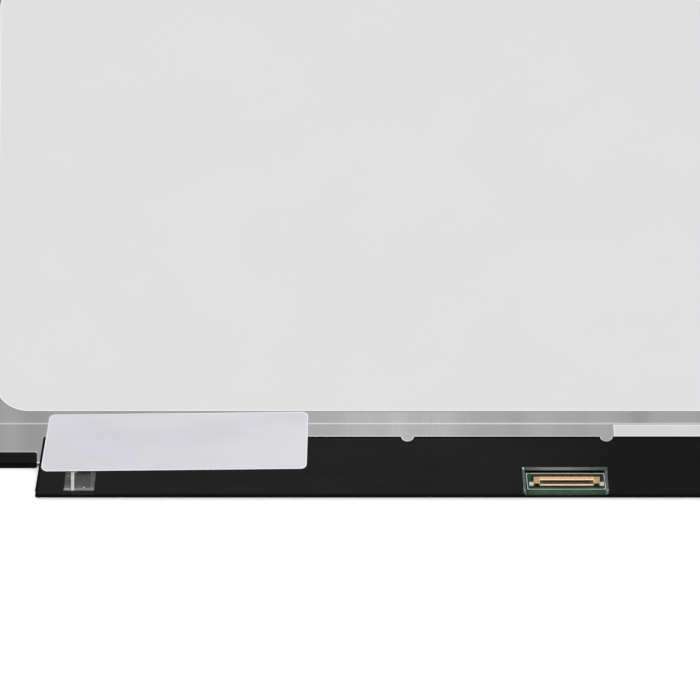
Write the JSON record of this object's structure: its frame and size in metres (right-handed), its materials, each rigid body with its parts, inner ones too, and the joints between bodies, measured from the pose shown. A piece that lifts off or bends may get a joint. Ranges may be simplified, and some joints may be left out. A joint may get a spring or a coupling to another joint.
{
  "type": "laptop screen panel",
  "caption": "Bare laptop display module lying face down: metal rear frame round a pale reflector sheet, with a film-covered circuit board and cable connector along one long edge.",
  "frame": {"origin": "middle of the whole outline, on the plane of the display face that the panel rests on", "axes": "+X across the panel, +Y from the board edge to the top edge, +Z from the display face to the rear"},
  "size_m": [0.3594, 0.224, 0.0031],
  "materials": {
    "frame_metal": "satin, faintly brushed across the flange",
    "reflector_white": "smooth matte",
    "cover_black": "satin film",
    "clear_film": "clear gloss film",
    "label_paper": "smooth bare label",
    "tape_black": "satin tape",
    "strip_light": "matte tape",
    "board_green": "solder mask",
    "gold_shell": "plated sheet",
    "housing_cream": "moulded",
    "contact_gold": "plated",
    "solder": "tinned",
    "connector_cream": "moulded",
    "flex_brown": "film with copper tracks",
    "mould_black": "fine spark texture",
    "cell_glass": "polished",
    "polariser_dark": "anti-glare film",
    "optic_sheet": "translucent sheet",
    "light_guide": "clear plate",
    "adhesive_black": "adhesive film",
    "diode_white": "moulded with phosphor face",
    "driver_film": "polyimide film",
    "silicon": "polished die",
    "chip_black": "moulded",
    "ferrite": "sintered",
    "capacitor_tan": "sintered with tinned ends",
    "resistor_black": "glazed with tinned ends"
  },
  "bodies": {
    "root": {"rear_frame": "frame_metal", "moulded_frame": "mould_black", "board_cover_film": "cover_black", "connector_window_film": "clear_film", "tail_window_film": "clear_film", "label": "label_paper", "edge_tape_left": "tape_black", "edge_tape_right": "tape_black", "strip_tape": "strip_light", "front_polariser": "polariser_dark", "colour_filter_glass": "cell_glass", "array_glass": "cell_glass", "rear_polariser": "polariser_dark", "panel_tape": "adhesive_black", "upper_prism_sheet": "optic_sheet", "lower_prism_sheet": "optic_sheet", "diffuser_sheet": "optic_sheet", "light_guide_plate": "light_guide", "reflector_sheet": "reflector_white", "led_packages": "diode_white", "led_flex": "flex_brown", "driver_films": "driver_film", "driver_chips": "silicon", "circuit_board": "board_green", "timing_controller": "chip_black", "power_chip": "chip_black", "backlight_driver_chip": "chip_black", "inductors": "ferrite", "capacitors": "capacitor_tan", "resistors": "resistor_black", "tail_connector": "connector_cream", "connector_housing": "housing_cream", "connector_shell": "gold_shell", "connector_contacts": "contact_gold", "connector_hold_downs": "solder"}
  },
  "joints": []
}
